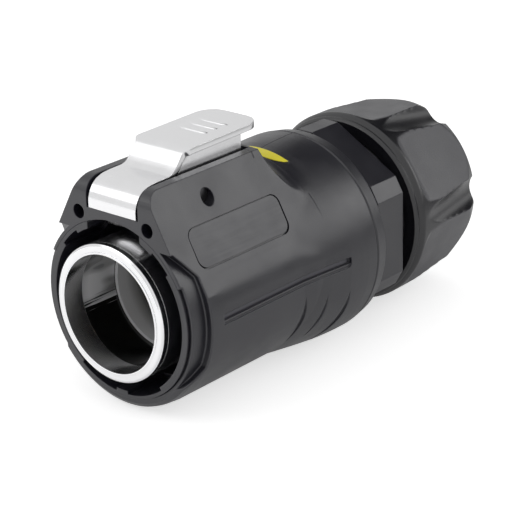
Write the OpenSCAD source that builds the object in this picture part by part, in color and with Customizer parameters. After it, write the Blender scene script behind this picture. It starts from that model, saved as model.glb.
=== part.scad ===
// Push pull circular cable connector with a press latch and a hex cable gland.
// Millimetres. Y runs along the connector: mating face at Y = 0, cable end at +Y.
// Z is up, with the latch on top. X is across.

/* [Mating end] */
// Outer radius of the mating sleeve and its front ring
sleeve_r = 11.5; // [11.2:0.1:11.8]
// Bore radius of the mating sleeve
bore_r = 9.9; // [9.5:0.1:10.2]
// Depth of the wide front length of the bore
bore_depth = 11.5; // [9:0.5:14]
// Inner radius of the keyed coupling collar
collar_r = 13.75; // [13.4:0.05:13.9]
// Radius of the keyways cut in the collar
keyway_r = 14.3; // [14.1:0.05:14.4]
// Outer radius of the coupling collar
collar_out_r = 14.95; // [14.8:0.05:15.1]
// Face of the collar and of the latch ears behind the mating plane
ear_y = 2; // [1.5:0.1:2.5]

/* [Shell] */
// Radius of the shell barrel
body_r = 16.8; // [16.6:0.1:17]
// Rise of the flared grip over the barrel
flare_rise = 1.3; // [1:0.1:1.6]
// Drop of the flared grip below the axis
flare_drop = 0.4; // [0.2:0.1:0.6]
// Rear end of the shell
shell_end_y = 45.9; // [45:0.1:47]
// Tilt of the side flats, from upright
flat_tilt = 29; // [27:0.5:31]
// Distance of the side flats from the axis
flat_d = 16.45; // [16.3:0.05:16.6]
// Height of the latch ears above the axis
ear_z = 21; // [20.5:0.1:21.5]
// Height of the resting land below the axis
land_z = 17.35; // [17.3:0.05:17.5]

/* [Latch] */
// Half width of the latch in its slot
latch_hw = 5.05; // [4.7:0.05:5.2]
// Half width of the press tab
tab_hw = 5.75; // [5.4:0.05:6.2]
// Rear end of the press tab
tab_end_y = 31.4; // [30:0.2:33]
// Sheet thickness of the latch
latch_t = 1; // [0.8:0.1:1.2]
// Pivot position along the connector
pivot_y = 13.95; // [13.5:0.05:14.4]
// Pivot height above the axis
pivot_z = 17.5; // [17.4:0.05:17.7]
// Radius of the pivot pin
pin_r = 1.3; // [1.1:0.05:1.35]

/* [Rear] */
// Radius to the corners of the hex
hex_r = 17.2; // [16.8:0.1:17.2]
// Rear face of the hex
hex_end_y = 56.1; // [55:0.1:57]
// Front face of the gland nut
nut_y = 58.7; // [58:0.1:59.5]
// Largest radius of the gland nut
nut_r = 17.25; // [16.8:0.05:17.3]
// Thread radius under the gland nut
gland_thread_r = 13.6; // [13.3:0.1:13.8]
// Radius of the cable hole in the gland seal
cable_r = 5.5; // [4.5:0.1:6.5]
// Rear end of the gland nut
nut_end_y = 79.3; // [78.5:0.1:80.5]

/* [Hidden] */
$fn = 96;
// Clearance of a seated fit, of a running fit and of a free gap
seat = 0.05;
run_fit = 0.08;
free = 0.5;
big = 60;
// Overlap used where one cutter must pass a face
lap = 0.2;

// Inner steps of the shell
shell_face_y = ear_y + 0.5;
rim_y = ear_y + 1.3;
collar_end_y = 10.5;
shoulder_y = 20;
rear_bore_r = 14.2;
land_end_y = shell_end_y + 4;
flare_r = body_r + flare_rise;
flare_y = [27, 34.3, 39.2, 43, shell_end_y];

// Latch slot
slot_hw = latch_hw + free;
slot_end_y = 28;
bridge_y = ear_y + 2.2;
bridge_z = 16.2;
window_end_y = 9.4;
slot_floor_z = 15.2;
slot_step_y = 18.5;
slot_step_z = 17.2;
strip_hw = (flat_d - (ear_z - 0.14) * sin(flat_tilt)) / cos(flat_tilt);

// Scooped end of the latch housing
scoop_r = 6;
scoop_mid_r = body_r + 0.7 + scoop_r;
scoop_mid_y = 34.3;

// Reliefs on the shell front: their end along Y and the heights of their slanted ends
relief_y = ear_y + 3.6;
relief_top = [12.1, 8];
relief_low = [-10.7, -6.8];

// Holes in the latch ears
face_hole_r = 1.2;
face_hole_x = 7.35;
face_hole_z = 15.1;
face_hole_depth = 5.5;

// Latch hook, cheeks and grip bars
hook_y = ear_y + 3.3;
hook_t = 1.4;
hook_z = 12.6;
hook_hw = latch_hw - 0.6;
cheek_end_y = tab_end_y - 4.6;
boss_r = pin_r + 0.65;
grip_count = 3;
grip_step = 2.4;
grip_y = tab_end_y - 10.8;
grip_size = [6.2, 0.9, 1.15];
pin_hl = latch_hw + 2.95;

// Leaf spring under the press tab
spring_hw = 2.4;
spring_t = 0.4;
spring_y = pivot_y + 5.25;
spring_top_z = ear_z + 2.72;

// Name plate on the side flat, measured along the flat
plate_y = [6.9, 28];
plate_t = [0.85, 7.35];
plate_corner = 1.6;
plate_gap = 0.12;
plate_shadow_gap = 0.28;
plate_depth = 0.5;

// Index mark on top of the grip
mark_y = 37.2;
mark_hw = 6.1;
mark_len = 3;
mark_depth = 0.5;

// Grip gills: they fade out upward, because their floor is round about a raised centre
gill_r = 11;
gill_y = [29.2, 34, 39.6];
gill_z = [-6.5, -6, -8];
gill_rise = 0.4;
gill_ease = 0.1;

// Long grip channel on each side: a floor, a ledge below it and a round lower rear corner
channel_y = [8.4, 39];
channel_z = [-0.3, 0.3, 1.45];
channel_depth = 0.65;
ledge_depth = 0.3;
channel_corner = 0.8;

// Ring and sleeve
ring_y = 1.4;
ring_skirt_y = 4;
ring_skirt_r = bore_r + 0.55;
seal_y = 17.5;
gap_end_y = 18.5;
flange_end_y = 24;
sleeve_tail_y = 36;
sleeve_tail_r = 11.8;
insert_r = bore_r - 0.6;

// Insert and contacts
insert_y = [20, 30];
contact_ring_r = 5.3;
contact_count = 5;
contact_r = 1.5;
contact_y = [20.4, 36];
stop_end_y = 32;
clamp_end_y = 33;

// End ring, back body and gland
end_ring_y = 49.1;
end_ring_r = flare_r - 0.6;
back_bore_r = 10.6;
hex_half_face = 5.25;
gland_end_y = nut_end_y - 10.7;
oring_y = 43.5;
oring_r = 0.9;
seal_top_y = gland_end_y + 3;
seal_front_y = gland_end_y - 9;
claw_flange_y = gland_end_y + 2;
claw_end_y = gland_end_y + 6;
washer_end_y = claw_end_y + 0.8;
exit_r = 7.2;

// Six flats of the nut with a flute between each two, all turned a little from square
nut_turn = 4.5;
flute_r = 3;
flute_tilt = 12;
flute_start_y = nut_y + 2.8;
flat_y = nut_y + 2.3;
flat_drop = [1.15, 2.15];

// Turns a profile of radius and Y about the connector axis
module turned() {
    rotate([-90, 0, 0])
        rotate_extrude()
            children();
}

// A plain tube along Y
module tube(y0, y1, r_out, r_in) {
    turned()
        translate([r_in, y0])
            square([r_out - r_in, y1 - y0]);
}

// A solid cylinder along Y
module rod(y0, y1, r) {
    translate([0, y0, 0])
        rotate([-90, 0, 0])
            cylinder(h = y1 - y0, r = r);
}

// Extrudes an X, Z outline from y0 to y1
module plate(y0, y1) {
    translate([0, y1, 0])
        rotate([90, 0, 0])
            linear_extrude(height = y1 - y0)
                children();
}

// Extrudes a Y, Z outline from x0 to x1
module side(x0, x1) {
    translate([x0, 0, 0])
        rotate([90, 0, 90])
            linear_extrude(height = x1 - x0)
                children();
}

// Places children on the right side flat: X along Y, Y up the slope, Z outward
module on_flat() {
    rotate([0, -flat_tilt, 0])
        translate([flat_d, 0, 0])
            rotate([90, 0, 90])
                children();
}

// Both sides of the middle plane
module both() {
    children();
    mirror([1, 0, 0])
        children();
}

// Radius of the flared grip at a place along it
function flare_at(y) = lookup(y, [
    [flare_y[0], body_r - 0.4],
    [flare_y[1], flare_r - 0.75],
    [flare_y[2], flare_r - 0.2],
    [flare_y[3], flare_r],
    [flare_y[4], flare_r]]);

module barrel_form() {
    turned()
        polygon([
            [0, shell_face_y],
            [collar_out_r + 0.85, shell_face_y],
            [body_r - 0.35, rim_y - 0.35],
            [body_r - 0.15, rim_y + 0.4],
            [body_r, 5.5],
            [body_r, 28],
            [body_r + 0.25, 31],
            [body_r + 0.5, 36],
            [body_r + 0.5, shell_end_y],
            [0, shell_end_y]]);
}

module flare_form() {
    translate([0, 0, -flare_drop])
        turned()
            polygon(concat(
                [[0, flare_y[0]]],
                [for (y = [flare_y[0] : 1.5 : flare_y[3]]) [flare_at(y), y]],
                [[flare_r, flare_y[3] + 0.5], [flare_r, shell_end_y - 0.3],
                [flare_r - 0.25, shell_end_y], [0, shell_end_y]]));
}

// Outline of the latch housing across the axis, drawn past its side flats
module housing_outline() {
    foot_x = flat_d * cos(flat_tilt);
    foot_z = flat_d * sin(flat_tilt);
    polygon([
        [foot_x - 1, foot_z - 1],
        [foot_x + 2, foot_z],
        [strip_hw + 1.5, ear_z],
        [-strip_hw - 1.5, ear_z],
        [-foot_x - 2, foot_z],
        [-foot_x + 1, foot_z - 1]]);
}

module housing_side() {
    nose_r = 2.9;
    polygon(concat(
        [for (a = [180 : -10 : 90]) [ear_y + nose_r + nose_r * cos(a), ear_z - nose_r + nose_r * sin(a)]],
        [[scoop_mid_y, ear_z], [scoop_mid_y, 0], [ear_y, 0]]));
}

module housing_form() {
    intersection() {
        plate(ear_y, scoop_mid_y)
            housing_outline();
        side(-big, big)
            housing_side();
    }
}

// Ring shaped cutter that scoops the back of the housing
module scoop_cut() {
    turned()
        union() {
            translate([scoop_mid_r, scoop_mid_y])
                circle(r = scoop_r);
            translate([scoop_mid_r, scoop_mid_y - scoop_r])
                square([8, scoop_r * 2]);
            translate([scoop_mid_r - scoop_r, scoop_mid_y])
                square([scoop_r + 8, scoop_r * 2]);
        }
}

// Everything outside the planes of the side flats
module flat_cut() {
    both()
        on_flat()
            translate([-1, -5, 0])
                cube([scoop_mid_y + 2, 25, 9]);
}

// Relief on each side of the shell front
module side_relief() {
    difference() {
        side(0, big)
            polygon([
                [0, relief_top[0]],
                [shell_face_y, relief_top[0]],
                [relief_y, relief_top[1]],
                [relief_y, relief_low[1]],
                [shell_face_y, relief_low[0]],
                [0, relief_low[0]]]);
        rod(-1, relief_y + 1, collar_out_r + 0.6);
    }
}

// Gill shaped grip step that ends at y, deepest there and fading forward and upward
module gill(y, z) {
    floor_r = flare_at(y) + gill_ease;
    difference() {
        side(0, big)
            translate([y - gill_r, z])
                circle(r = gill_r);
        translate([0, y - 2 * gill_r, gill_rise])
            rotate([-90, 0, 0])
                cylinder(h = 2 * gill_r + 1, r1 = floor_r + 2.6, r2 = floor_r - 0.12);
    }
}

module latch_slot() {
    translate([-slot_hw, ear_y - 1, bridge_z])
        cube([2 * slot_hw, slot_end_y - ear_y + 1, big]);
    translate([-slot_hw, window_end_y - lap, slot_floor_z])
        cube([2 * slot_hw, slot_step_y - window_end_y + lap, big]);
    translate([-slot_hw, bridge_y, 11])
        cube([2 * slot_hw, window_end_y - bridge_y, big]);
}

// Outline of the name plate, grown by one gap at its front and top and by another behind and below
module plate_outline(grow, shadow) {
    y0 = plate_y[0] - grow;
    y1 = plate_y[1] + shadow;
    t0 = plate_t[0] - shadow;
    t1 = plate_t[1] + grow;
    r = plate_corner + grow;
    translate([y0 + r, t0])
        square([y1 - y0 - 2 * r, t1 - t0]);
    translate([y0, t0 + r])
        square([y1 - y0, t1 - t0 - 2 * r]);
    for (y = [y0 + r, y1 - r])
        for (t = [t0 + r, t1 - r])
            translate([y, t])
                circle(r = r);
}

module mark_outline() {
    intersection() {
        translate([0, mark_y])
            scale([mark_hw / mark_len, 1])
                circle(r = mark_len);
        translate([-mark_hw, mark_y - mark_len])
            square([2 * mark_hw, mark_len]);
    }
}

// Cutter along the side from height z0 to z1, its floor at a depth below barrel and flare
module side_groove(z0, z1, depth) {
    translate([0, 0, z0])
        linear_extrude(height = z1 - z0)
            polygon([
                [body_r - depth, channel_y[0]],
                [body_r - depth, flare_y[0] + 1],
                [flare_at(flare_y[1]) - depth, flare_y[1]],
                [flare_at(channel_y[1]) - depth, channel_y[1]],
                [body_r + 4, channel_y[1]],
                [body_r + 4, channel_y[0]]]);
}

module side_channel() {
    intersection() {
        union() {
            side_groove(channel_z[1], channel_z[2], channel_depth);
            side_groove(channel_z[0], channel_z[1] + lap, ledge_depth);
        }
        side(0, big) {
            translate([channel_y[0] - 1, channel_z[0] - 1])
                square([channel_y[1] - channel_y[0] + 1 - channel_corner, 4]);
            translate([channel_y[1] - channel_corner, channel_z[0] + channel_corner])
                square([channel_corner + 1, 4]);
            translate([channel_y[1] - channel_corner, channel_z[0] + channel_corner])
                circle(r = channel_corner);
        }
    }
}

module outer_shell() {
    color([0.13, 0.13, 0.14])
        difference() {
            union() {
                difference() {
                    union() {
                        barrel_form();
                        housing_form();
                    }
                    flat_cut();
                    scoop_cut();
                }
                flare_form();
            }
            tube(-1, collar_end_y, collar_out_r, 0);
            tube(-1, shoulder_y + lap, collar_r, 0);
            tube(shoulder_y, big, rear_bore_r, 0);
            both()
                side_relief();
            latch_slot();
            both()
                translate([face_hole_x, ear_y - 1, face_hole_z])
                    rotate([-90, 0, 0])
                        cylinder(h = face_hole_depth + 1, r = face_hole_r);
            translate([-big / 2, pivot_y, pivot_z])
                rotate([0, 90, 0])
                    cylinder(h = big, r = pin_r + seat);
            on_flat()
                translate([0, 0, -plate_depth])
                    linear_extrude(height = 2)
                        plate_outline(plate_gap, plate_shadow_gap);
            difference() {
                linear_extrude(height = big)
                    mark_outline();
                rod(0, big, body_r + 0.5 - mark_depth);
            }
            both()
                side_channel();
            for (k = [0 : 2])
                both()
                    gill(gill_y[k], gill_z[k]);
            translate([-big / 2, -1, -land_z - big])
                cube([big, land_end_y, big]);
        }
}

// Keyed ring that guides the mating part
module coupling_collar() {
    color([0.2, 0.2, 0.21])
        difference() {
            tube(ear_y, collar_end_y, collar_out_r - seat, collar_r);
            plate(ear_y - 1, collar_end_y + 1)
                for (s = [-1, 1]) {
                    keyway(s, 38, 55);
                    keyway(s, -85, -52.5);
                }
            translate([-slot_hw - 0.1, 0, 0])
                cube([2 * slot_hw + 0.2, big, big]);
        }
}

// Sector of a keyway between two angles, on side s
module keyway(s, a0, a1) {
    intersection() {
        circle(r = keyway_r);
        polygon([
            [0, 0],
            [s * 30 * cos(a0), 30 * sin(a0)],
            [s * 30 * cos((a0 + a1) / 2), 30 * sin((a0 + a1) / 2)],
            [s * 30 * cos(a1), 30 * sin(a1)]]);
    }
}

module mating_sleeve() {
    color([0.04, 0.04, 0.04])
        turned()
            polygon([
                [ring_skirt_r, ring_y],
                [sleeve_r, ring_y],
                [sleeve_r, gap_end_y],
                [collar_r - seat, gap_end_y],
                [collar_r - seat, shoulder_y],
                [rear_bore_r - seat, shoulder_y],
                [rear_bore_r - seat, flange_end_y],
                [sleeve_tail_r, flange_end_y],
                [sleeve_tail_r, sleeve_tail_y],
                [insert_r, sleeve_tail_y],
                [insert_r, bore_depth],
                [bore_r, bore_depth],
                [bore_r, ring_skirt_y],
                [ring_skirt_r, ring_skirt_y]]);
}

module front_ring() {
    color([0.85, 0.85, 0.86])
        turned()
            polygon([
                [bore_r, 0],
                [bore_r + 0.35, 0],
                [bore_r + 0.35, 0.12],
                [sleeve_r - 0.35, 0.12],
                [sleeve_r, 0.4],
                [sleeve_r, ring_y],
                [ring_skirt_r, ring_y],
                [ring_skirt_r, ring_skirt_y],
                [bore_r, ring_skirt_y]]);
}

module contact_spots() {
    for (k = [0 : contact_count - 1])
        rotate([0, 90 + k * 360 / contact_count, 0])
            translate([contact_ring_r, 0, 0])
                children();
}

module contact_insert() {
    color([0.08, 0.08, 0.09])
        difference() {
            rod(insert_y[0], insert_y[1], insert_r - seat);
            contact_spots()
                rod(insert_y[0] - 1, insert_y[1] + 1, contact_r + seat);
        }
}

module contacts() {
    color([0.83, 0.66, 0.3])
        contact_spots()
            difference() {
                union() {
                    rod(contact_y[0], contact_y[1], contact_r);
                    rod(insert_y[1], insert_y[1] + 1, contact_r + 0.5);
                }
                rod(contact_y[0] - 1, contact_y[0] + 7, contact_r - 0.7);
                rod(contact_y[1] - 4, contact_y[1] + 1, contact_r - 0.5);
            }
}

module insert_stop() {
    color([0.6, 0.6, 0.62])
        tube(insert_y[1], stop_end_y, insert_r - seat, insert_r - 1.6);
}

module clamp_tube() {
    color([0.15, 0.15, 0.16])
        tube(flange_end_y, clamp_end_y, rear_bore_r - seat, sleeve_tail_r + seat);
}

module interface_seal() {
    color([0.12, 0.12, 0.12])
        tube(seal_y, gap_end_y, collar_r - seat, sleeve_r + seat);
}

// Filled side outline of the pressed latch sheet
module latch_outline() {
    polygon([
        [ear_y, bridge_z + 0.05],
        [ear_y, ear_z - 3.3],
        [ear_y + 0.35, ear_z - 2.2],
        [ear_y + 1, ear_z - 1.2],
        [ear_y + 1.9, ear_z - 0.5],
        [ear_y + 3.3, ear_z - 0.05],
        [ear_y + 5, ear_z + 0.1],
        [ear_y + 7.8, ear_z + 0.15],
        [ear_y + 8.7, ear_z + 0.45],
        [pivot_y - 2.4, ear_z + 1.25],
        [pivot_y - 1.4, ear_z + 2.5],
        [pivot_y - 0.7, ear_z + 3.3],
        [pivot_y + 0.3, ear_z + 3.7],
        [tab_end_y, ear_z + 3.95],
        [tab_end_y + 5, ear_z + 3.95],
        [tab_end_y + 5, bridge_z + 0.05]]);
}

module latch_sheet() {
    difference() {
        latch_outline();
        translate([latch_t, -latch_t])
            latch_outline();
    }
}

// Plan of the latch sheet: narrow in the slot, wide over the tab
module latch_plan() {
    corner = 3.4;
    translate([-latch_hw, 0])
        square([2 * latch_hw, pivot_y]);
    translate([-tab_hw, pivot_y - 0.5])
        square([2 * tab_hw, tab_end_y - corner - pivot_y + 0.5]);
    translate([-tab_hw + corner, pivot_y])
        square([2 * (tab_hw - corner), tab_end_y - pivot_y]);
    for (x = [-tab_hw + corner, tab_hw - corner])
        translate([x, tab_end_y - corner])
            circle(r = corner);
}

// Side cheek that carries the pivot
module latch_cheek() {
    side(latch_hw - latch_t, latch_hw) {
        polygon([
            [ear_y + 2, ear_z - 2],
            [pivot_y - 2.4, pivot_z - 0.1],
            [pivot_y, pivot_z - 0.9],
            [pivot_y + 2.5, pivot_z + 0.5],
            [pivot_y + 6, pivot_z + 1.5],
            [cheek_end_y, pivot_z + 2.1],
            [cheek_end_y - 0.1, ear_z + 3.2],
            [pivot_y + 0.6, ear_z + 3],
            [pivot_y - 2, ear_z + 0.7],
            [pivot_y - 4.5, ear_z - 0.5],
            [ear_y + 4, ear_z - 0.7]]);
        translate([pivot_y, pivot_z])
            circle(r = boss_r);
    }
}

module latch_hook() {
    side(-hook_hw, hook_hw)
        polygon([
            [hook_y, hook_z + 0.3],
            [hook_y + 0.5, hook_z],
            [hook_y + hook_t, hook_z + 0.8],
            [hook_y + hook_t, ear_z - 0.6],
            [hook_y + 0.2, ear_z - 0.6],
            [hook_y, hook_z + 2.9]]);
}

module latch_lever() {
    color([0.86, 0.86, 0.87])
        difference() {
            union() {
                intersection() {
                    side(-big, big)
                        latch_sheet();
                    linear_extrude(height = big)
                        latch_plan();
                }
                both()
                    latch_cheek();
                latch_hook();
                for (k = [0 : grip_count - 1])
                    translate([-grip_size[0] / 2, grip_y + k * grip_step, ear_z + 3])
                        cube(grip_size);
            }
            translate([-big / 2, pivot_y, pivot_z])
                rotate([0, 90, 0])
                    cylinder(h = big, r = pin_r + seat);
        }
}

module latch_pin() {
    color([0.6, 0.6, 0.62])
        translate([-pin_hl, pivot_y, pivot_z])
            rotate([0, 90, 0])
                cylinder(h = 2 * pin_hl, r = pin_r);
}

module latch_spring() {
    color([0.65, 0.65, 0.67])
        side(-spring_hw, spring_hw)
            polygon([
                [spring_y, slot_step_z],
                [spring_y + 7.4, slot_step_z],
                [spring_y + 8.1, slot_step_z + 0.5],
                [spring_y + 8.1, slot_step_z + 1.2],
                [spring_y + 7.2, slot_step_z + 1.9],
                [spring_y + 1, spring_top_z],
                [spring_y + 0.1, spring_top_z],
                [spring_y + 0.1, spring_top_z - spring_t],
                [spring_y + 0.8, spring_top_z - spring_t],
                [spring_y + 6.9, slot_step_z + 1.5],
                [spring_y + 7.6, slot_step_z + 1],
                [spring_y + 7.6, slot_step_z + 0.7],
                [spring_y + 7.2, slot_step_z + spring_t],
                [spring_y, slot_step_z + spring_t]]);
}

module index_mark() {
    color([0.95, 0.83, 0.1])
        intersection() {
            linear_extrude(height = big)
                mark_outline();
            tube(0, big, body_r + 0.55, body_r + 0.5 - mark_depth);
        }
}

module name_plate() {
    color([0.17, 0.17, 0.18])
        on_flat()
            translate([0, 0, -plate_depth])
                linear_extrude(height = plate_depth)
                    plate_outline(0, 0);
}

module end_ring() {
    color([0.13, 0.13, 0.14])
        difference() {
            translate([0, 0, -flare_drop])
                turned()
                    polygon([
                        [0, shell_end_y],
                        [flare_r - 0.25, shell_end_y],
                        [flare_r - 0.05, shell_end_y + 0.3],
                        [flare_r - 0.25, shell_end_y + 1.4],
                        [end_ring_r + 0.15, end_ring_y - 0.6],
                        [end_ring_r - 0.3, end_ring_y],
                        [0, end_ring_y]]);
            rod(0, big, rear_bore_r + seat);
            translate([-big / 2, -1, -land_z - big])
                cube([big, big + 1, big]);
        }
}

module hex_outline() {
    polygon([for (k = [0 : 5]) for (s = [-1, 1])
        [hex_r * cos(30 + 60 * k + s * hex_half_face), hex_r * sin(30 + 60 * k + s * hex_half_face)]]);
}

module back_body() {
    color([0.12, 0.12, 0.13])
        difference() {
            union() {
                rod(clamp_end_y, end_ring_y, rear_bore_r - seat);
                plate(end_ring_y, hex_end_y)
                    hex_outline();
                rod(hex_end_y, gland_end_y, gland_thread_r);
            }
            rod(0, big * 2, back_bore_r);
            rod(clamp_end_y - 1, sleeve_tail_y + 0.5, sleeve_tail_r + 0.2);
            tube(oring_y - 1.1, oring_y + 1.1, rear_bore_r + 1, rear_bore_r - 2 * oring_r);
        }
}

module back_seal() {
    color([0.1, 0.1, 0.1])
        turned()
            translate([rear_bore_r - oring_r, oring_y])
                circle(r = oring_r, $fn = 32);
}

module gland_seal() {
    color([0.1, 0.1, 0.1])
        turned()
            polygon([
                [cable_r, seal_front_y],
                [back_bore_r - 1, seal_front_y],
                [back_bore_r - 0.8, seal_front_y + 1],
                [back_bore_r - 0.8, gland_end_y + 1],
                [back_bore_r - 1.6, seal_top_y],
                [cable_r, seal_top_y]]);
}

module gland_claw() {
    color([0.2, 0.2, 0.21])
        difference() {
            turned()
                polygon([
                    [back_bore_r - 0.8 + seat, seal_front_y + 2],
                    [back_bore_r - seat, seal_front_y + 2],
                    [back_bore_r - seat, gland_end_y],
                    [gland_thread_r - 0.8, gland_end_y],
                    [gland_thread_r - 0.8, claw_flange_y - 0.6],
                    [gland_thread_r - 1.6, claw_flange_y],
                    [back_bore_r, claw_end_y],
                    [back_bore_r - 1.2, claw_end_y],
                    [back_bore_r - 0.8 + seat, gland_end_y + 1.1]]);
            for (k = [0 : 3])
                rotate([0, 22.5 + 45 * k, 0])
                    translate([-big / 2, gland_end_y + 1.2, -0.5])
                        cube([big, 10, 1]);
        }
}

module gland_washer() {
    color([0.6, 0.6, 0.62])
        tube(claw_end_y, washer_end_y, back_bore_r + 0.3, exit_r);
}

// Distance of one flat of the nut from the axis, as an outline along Y
module nut_flat_outline() {
    polygon([
        [flat_y, nut_r + 0.05],
        [flat_y + 0.6, nut_r - 0.5],
        [flat_y + 1.3, nut_r - 0.92],
        [flat_y + 2, nut_r - flat_drop[0]],
        [nut_end_y + 1, nut_r - flat_drop[1]],
        [nut_end_y + 1, nut_r + 6],
        [flat_y, nut_r + 6]]);
}

module gland_nut() {
    color([0.13, 0.13, 0.14])
        difference() {
            turned()
                polygon([
                    [gland_thread_r + run_fit, nut_y],
                    [nut_r - 0.75, nut_y],
                    [nut_r, nut_y + 1.7],
                    [nut_r, nut_y + 6.3],
                    [nut_r - 0.1, nut_y + 10.3],
                    [nut_r - 0.35, nut_end_y - 7.3],
                    [nut_r - 0.75, nut_end_y - 4.1],
                    [nut_r - 2.2, nut_end_y - 0.8],
                    [nut_r - 2.75, nut_end_y - 0.25],
                    [nut_r - 3.4, nut_end_y],
                    [exit_r + 0.8, nut_end_y],
                    [exit_r, nut_end_y - 0.8],
                    [exit_r, washer_end_y],
                    [gland_thread_r - 0.5, washer_end_y],
                    [gland_thread_r - 0.5, gland_end_y + 0.5],
                    [gland_thread_r + run_fit, gland_end_y + 0.5]]);
            for (k = [0 : 5])
                rotate([0, 30 + 60 * k - nut_turn, 0])
                    nut_flat_cut();
            for (k = [0 : 5])
                rotate([0, 60 * k - nut_turn, 0])
                    translate([nut_r + flute_r, flute_start_y, 0])
                        rotate([-90, 0, 0])
                            rotate([0, -flute_tilt, 0])
                                translate([0, 0, -2])
                                    cylinder(h = nut_end_y - nut_y + 2, r = flute_r);
        }
}

// Cutter outside one flat, facing +X before it is turned
module nut_flat_cut() {
    translate([0, 0, -12])
        linear_extrude(height = 24)
            mirror([1, -1])
                nut_flat_outline();
}

outer_shell();
coupling_collar();
mating_sleeve();
front_ring();
contact_insert();
contacts();
insert_stop();
clamp_tube();
interface_seal();
latch_lever();
latch_pin();
latch_spring();
index_mark();
name_plate();
end_ring();
back_body();
back_seal();
gland_seal();
gland_claw();
gland_washer();
gland_nut();
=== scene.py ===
"""Push pull circular cable connector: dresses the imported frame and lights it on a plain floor."""
import math

import bmesh
import bpy
import numpy as np
from mathutils import Matrix, Vector


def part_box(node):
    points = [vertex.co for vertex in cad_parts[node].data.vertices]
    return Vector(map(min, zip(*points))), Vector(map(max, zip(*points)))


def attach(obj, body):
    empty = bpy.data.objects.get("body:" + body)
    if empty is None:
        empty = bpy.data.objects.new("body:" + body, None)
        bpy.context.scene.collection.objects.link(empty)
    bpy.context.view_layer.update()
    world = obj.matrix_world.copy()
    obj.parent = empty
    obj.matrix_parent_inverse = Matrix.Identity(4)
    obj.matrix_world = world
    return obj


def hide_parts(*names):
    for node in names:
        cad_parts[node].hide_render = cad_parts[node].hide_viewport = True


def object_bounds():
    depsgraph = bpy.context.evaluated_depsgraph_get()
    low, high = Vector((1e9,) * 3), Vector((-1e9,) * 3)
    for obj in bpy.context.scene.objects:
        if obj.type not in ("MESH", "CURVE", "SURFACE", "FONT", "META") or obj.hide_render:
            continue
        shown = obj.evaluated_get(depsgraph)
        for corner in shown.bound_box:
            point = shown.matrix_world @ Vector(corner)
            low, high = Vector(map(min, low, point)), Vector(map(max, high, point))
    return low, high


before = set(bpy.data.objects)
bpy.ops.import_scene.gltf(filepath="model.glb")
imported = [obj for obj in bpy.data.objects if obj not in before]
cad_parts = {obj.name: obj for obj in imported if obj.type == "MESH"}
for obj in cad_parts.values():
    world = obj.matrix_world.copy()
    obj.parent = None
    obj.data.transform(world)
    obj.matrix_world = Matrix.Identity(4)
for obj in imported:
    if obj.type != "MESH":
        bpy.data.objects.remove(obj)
CAD_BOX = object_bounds()

bl_info = {
    "name": "Push pull connector",
    "version": (1, 0, 0),
    "blender": (4, 5, 0),
    "location": "View3D > Sidebar > Connector",
    "description": "Builds and dresses a latched circular cable connector",
    "category": "Object",
}

MM = 0.001
# Places on the frame that finishes follow, in millimetres
BORE_STEP_Y = 11.5
SLEEVE_MID_R = 10.6
BORE_R = 9.9
CHANNEL_Y = (8.6, 38.6)
CHANNEL_MIN_X = 12.0
PLATE_MID_Y, PLATE_MID_Z = 17.3, 11.5
THREAD_PITCH = 1.5
THREAD_FROM_Y = 56.15
# Radius of the arch that the latch cheeks make over the pin, and the number of columns round the nut's skin
PIN_ARCH_R = 1.9
NUT_COLUMNS = 480


def edge_of(node, side, axis):
    """Lowest or highest coordinate of a frame node along an axis, in millimetres; side is 0 or 1."""
    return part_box(node)[side]["XYZ".index(axis)] / MM


FACE_Y, TAB_END_Y = edge_of("latch_lever", 0, "Y"), edge_of("latch_lever", 1, "Y")
EAR_Z = edge_of("outer_shell", 1, "Z")
PIVOT_Y = (edge_of("latch_pin", 0, "Y") + edge_of("latch_pin", 1, "Y")) / 2
PIVOT_Z = (edge_of("latch_pin", 0, "Z") + edge_of("latch_pin", 1, "Z")) / 2
NUT_Y, NUT_END_Y = edge_of("gland_nut", 0, "Y"), edge_of("gland_nut", 1, "Y")


# ---------------------------------------------------------------- sizes and colours

def length(label, told, default, low, high):
    """Property for a length in millimetres."""
    return bpy.props.FloatProperty(name=label, description=f"{told} in millimetres", default=default, min=low, max=high)


def angle(label, told, degrees, **limits):
    """Property for an angle."""
    return bpy.props.FloatProperty(name=label, description=told, subtype="ANGLE", default=math.radians(degrees),
                                   **limits)


def tint(label, told, default):
    """Property for a colour."""
    return bpy.props.FloatVectorProperty(name=label, description=told, subtype="COLOR", size=3, min=0, max=1,
                                         default=default)


class LatchSizes(bpy.types.PropertyGroup):
    """Sizes of the pressed latch."""
    sheet: length("Sheet thickness", "Thickness of the latch sheet", 1.0, 0.6, 1.4)
    slot_half: length("Half width in the slot", "Half width of the front of the latch", 5.05, 4.5, 5.3)
    tab_half: length("Half width of the tab", "Half width of the press tab", 5.75, 5.3, 6.2)
    corner: length("Tab corner", "Corner radius at the end of the tab", 3.4, 1.0, 5.0)
    bars: bpy.props.IntProperty(name="Grip bars", description="Raised grip bars on the press tab", default=3,
                                min=0, max=5)


class NutSizes(bpy.types.PropertyGroup):
    """Sizes of the fluted gland nut."""
    radius: length("Radius", "Largest radius of the nut", 17.25, 16.0, 17.3)
    flute: length("Flute radius", "Radius of the groove between two flats", 3.0, 1.0, 4.0)
    tilt: angle("Flute tilt", "Slope at which the grooves deepen toward the cable end", 12.0,
                min=0, max=math.radians(15))
    turn: angle("Turn", "How far the nut stands turned from square", 4.5)
    soft: length("Edge softness", "Rounding where two faces of the nut meet", 0.14, 0.05, 1.0)


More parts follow.
